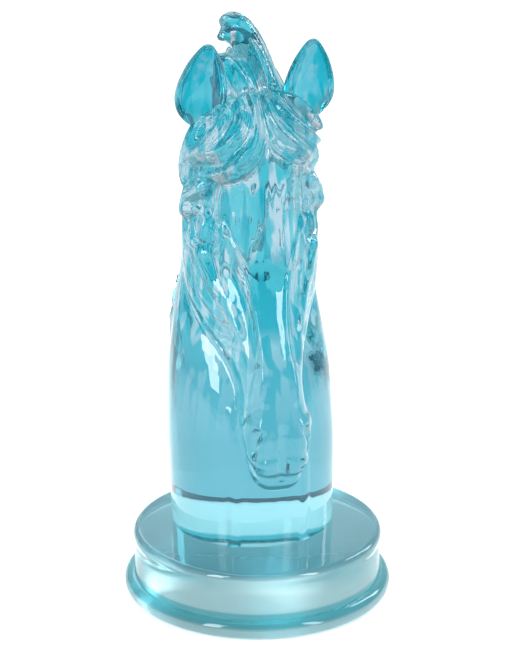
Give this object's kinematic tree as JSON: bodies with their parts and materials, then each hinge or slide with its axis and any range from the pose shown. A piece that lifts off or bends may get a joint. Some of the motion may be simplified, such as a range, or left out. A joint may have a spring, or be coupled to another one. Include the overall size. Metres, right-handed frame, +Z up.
{
  "type": "horse sculpture",
  "caption": "Horse's head and neck with cupped ears, swept forelock, curling top lock and mane, cast in clear tinted glass in one with its round stepped plinth.",
  "frame": {"origin": "middle of the plinth's flat underside, on the surface that it stands on", "axes": "+Z up; the horse faces -Y; +X is the horse's left"},
  "size_m": [0.1302, 0.1302, 0.2814],
  "materials": {
    "turquoise_glass": "clear turquoise cast glass, fire-polished"
  },
  "bodies": {
    "root": {"horse_head_casting": "turquoise_glass"}
  },
  "joints": []
}
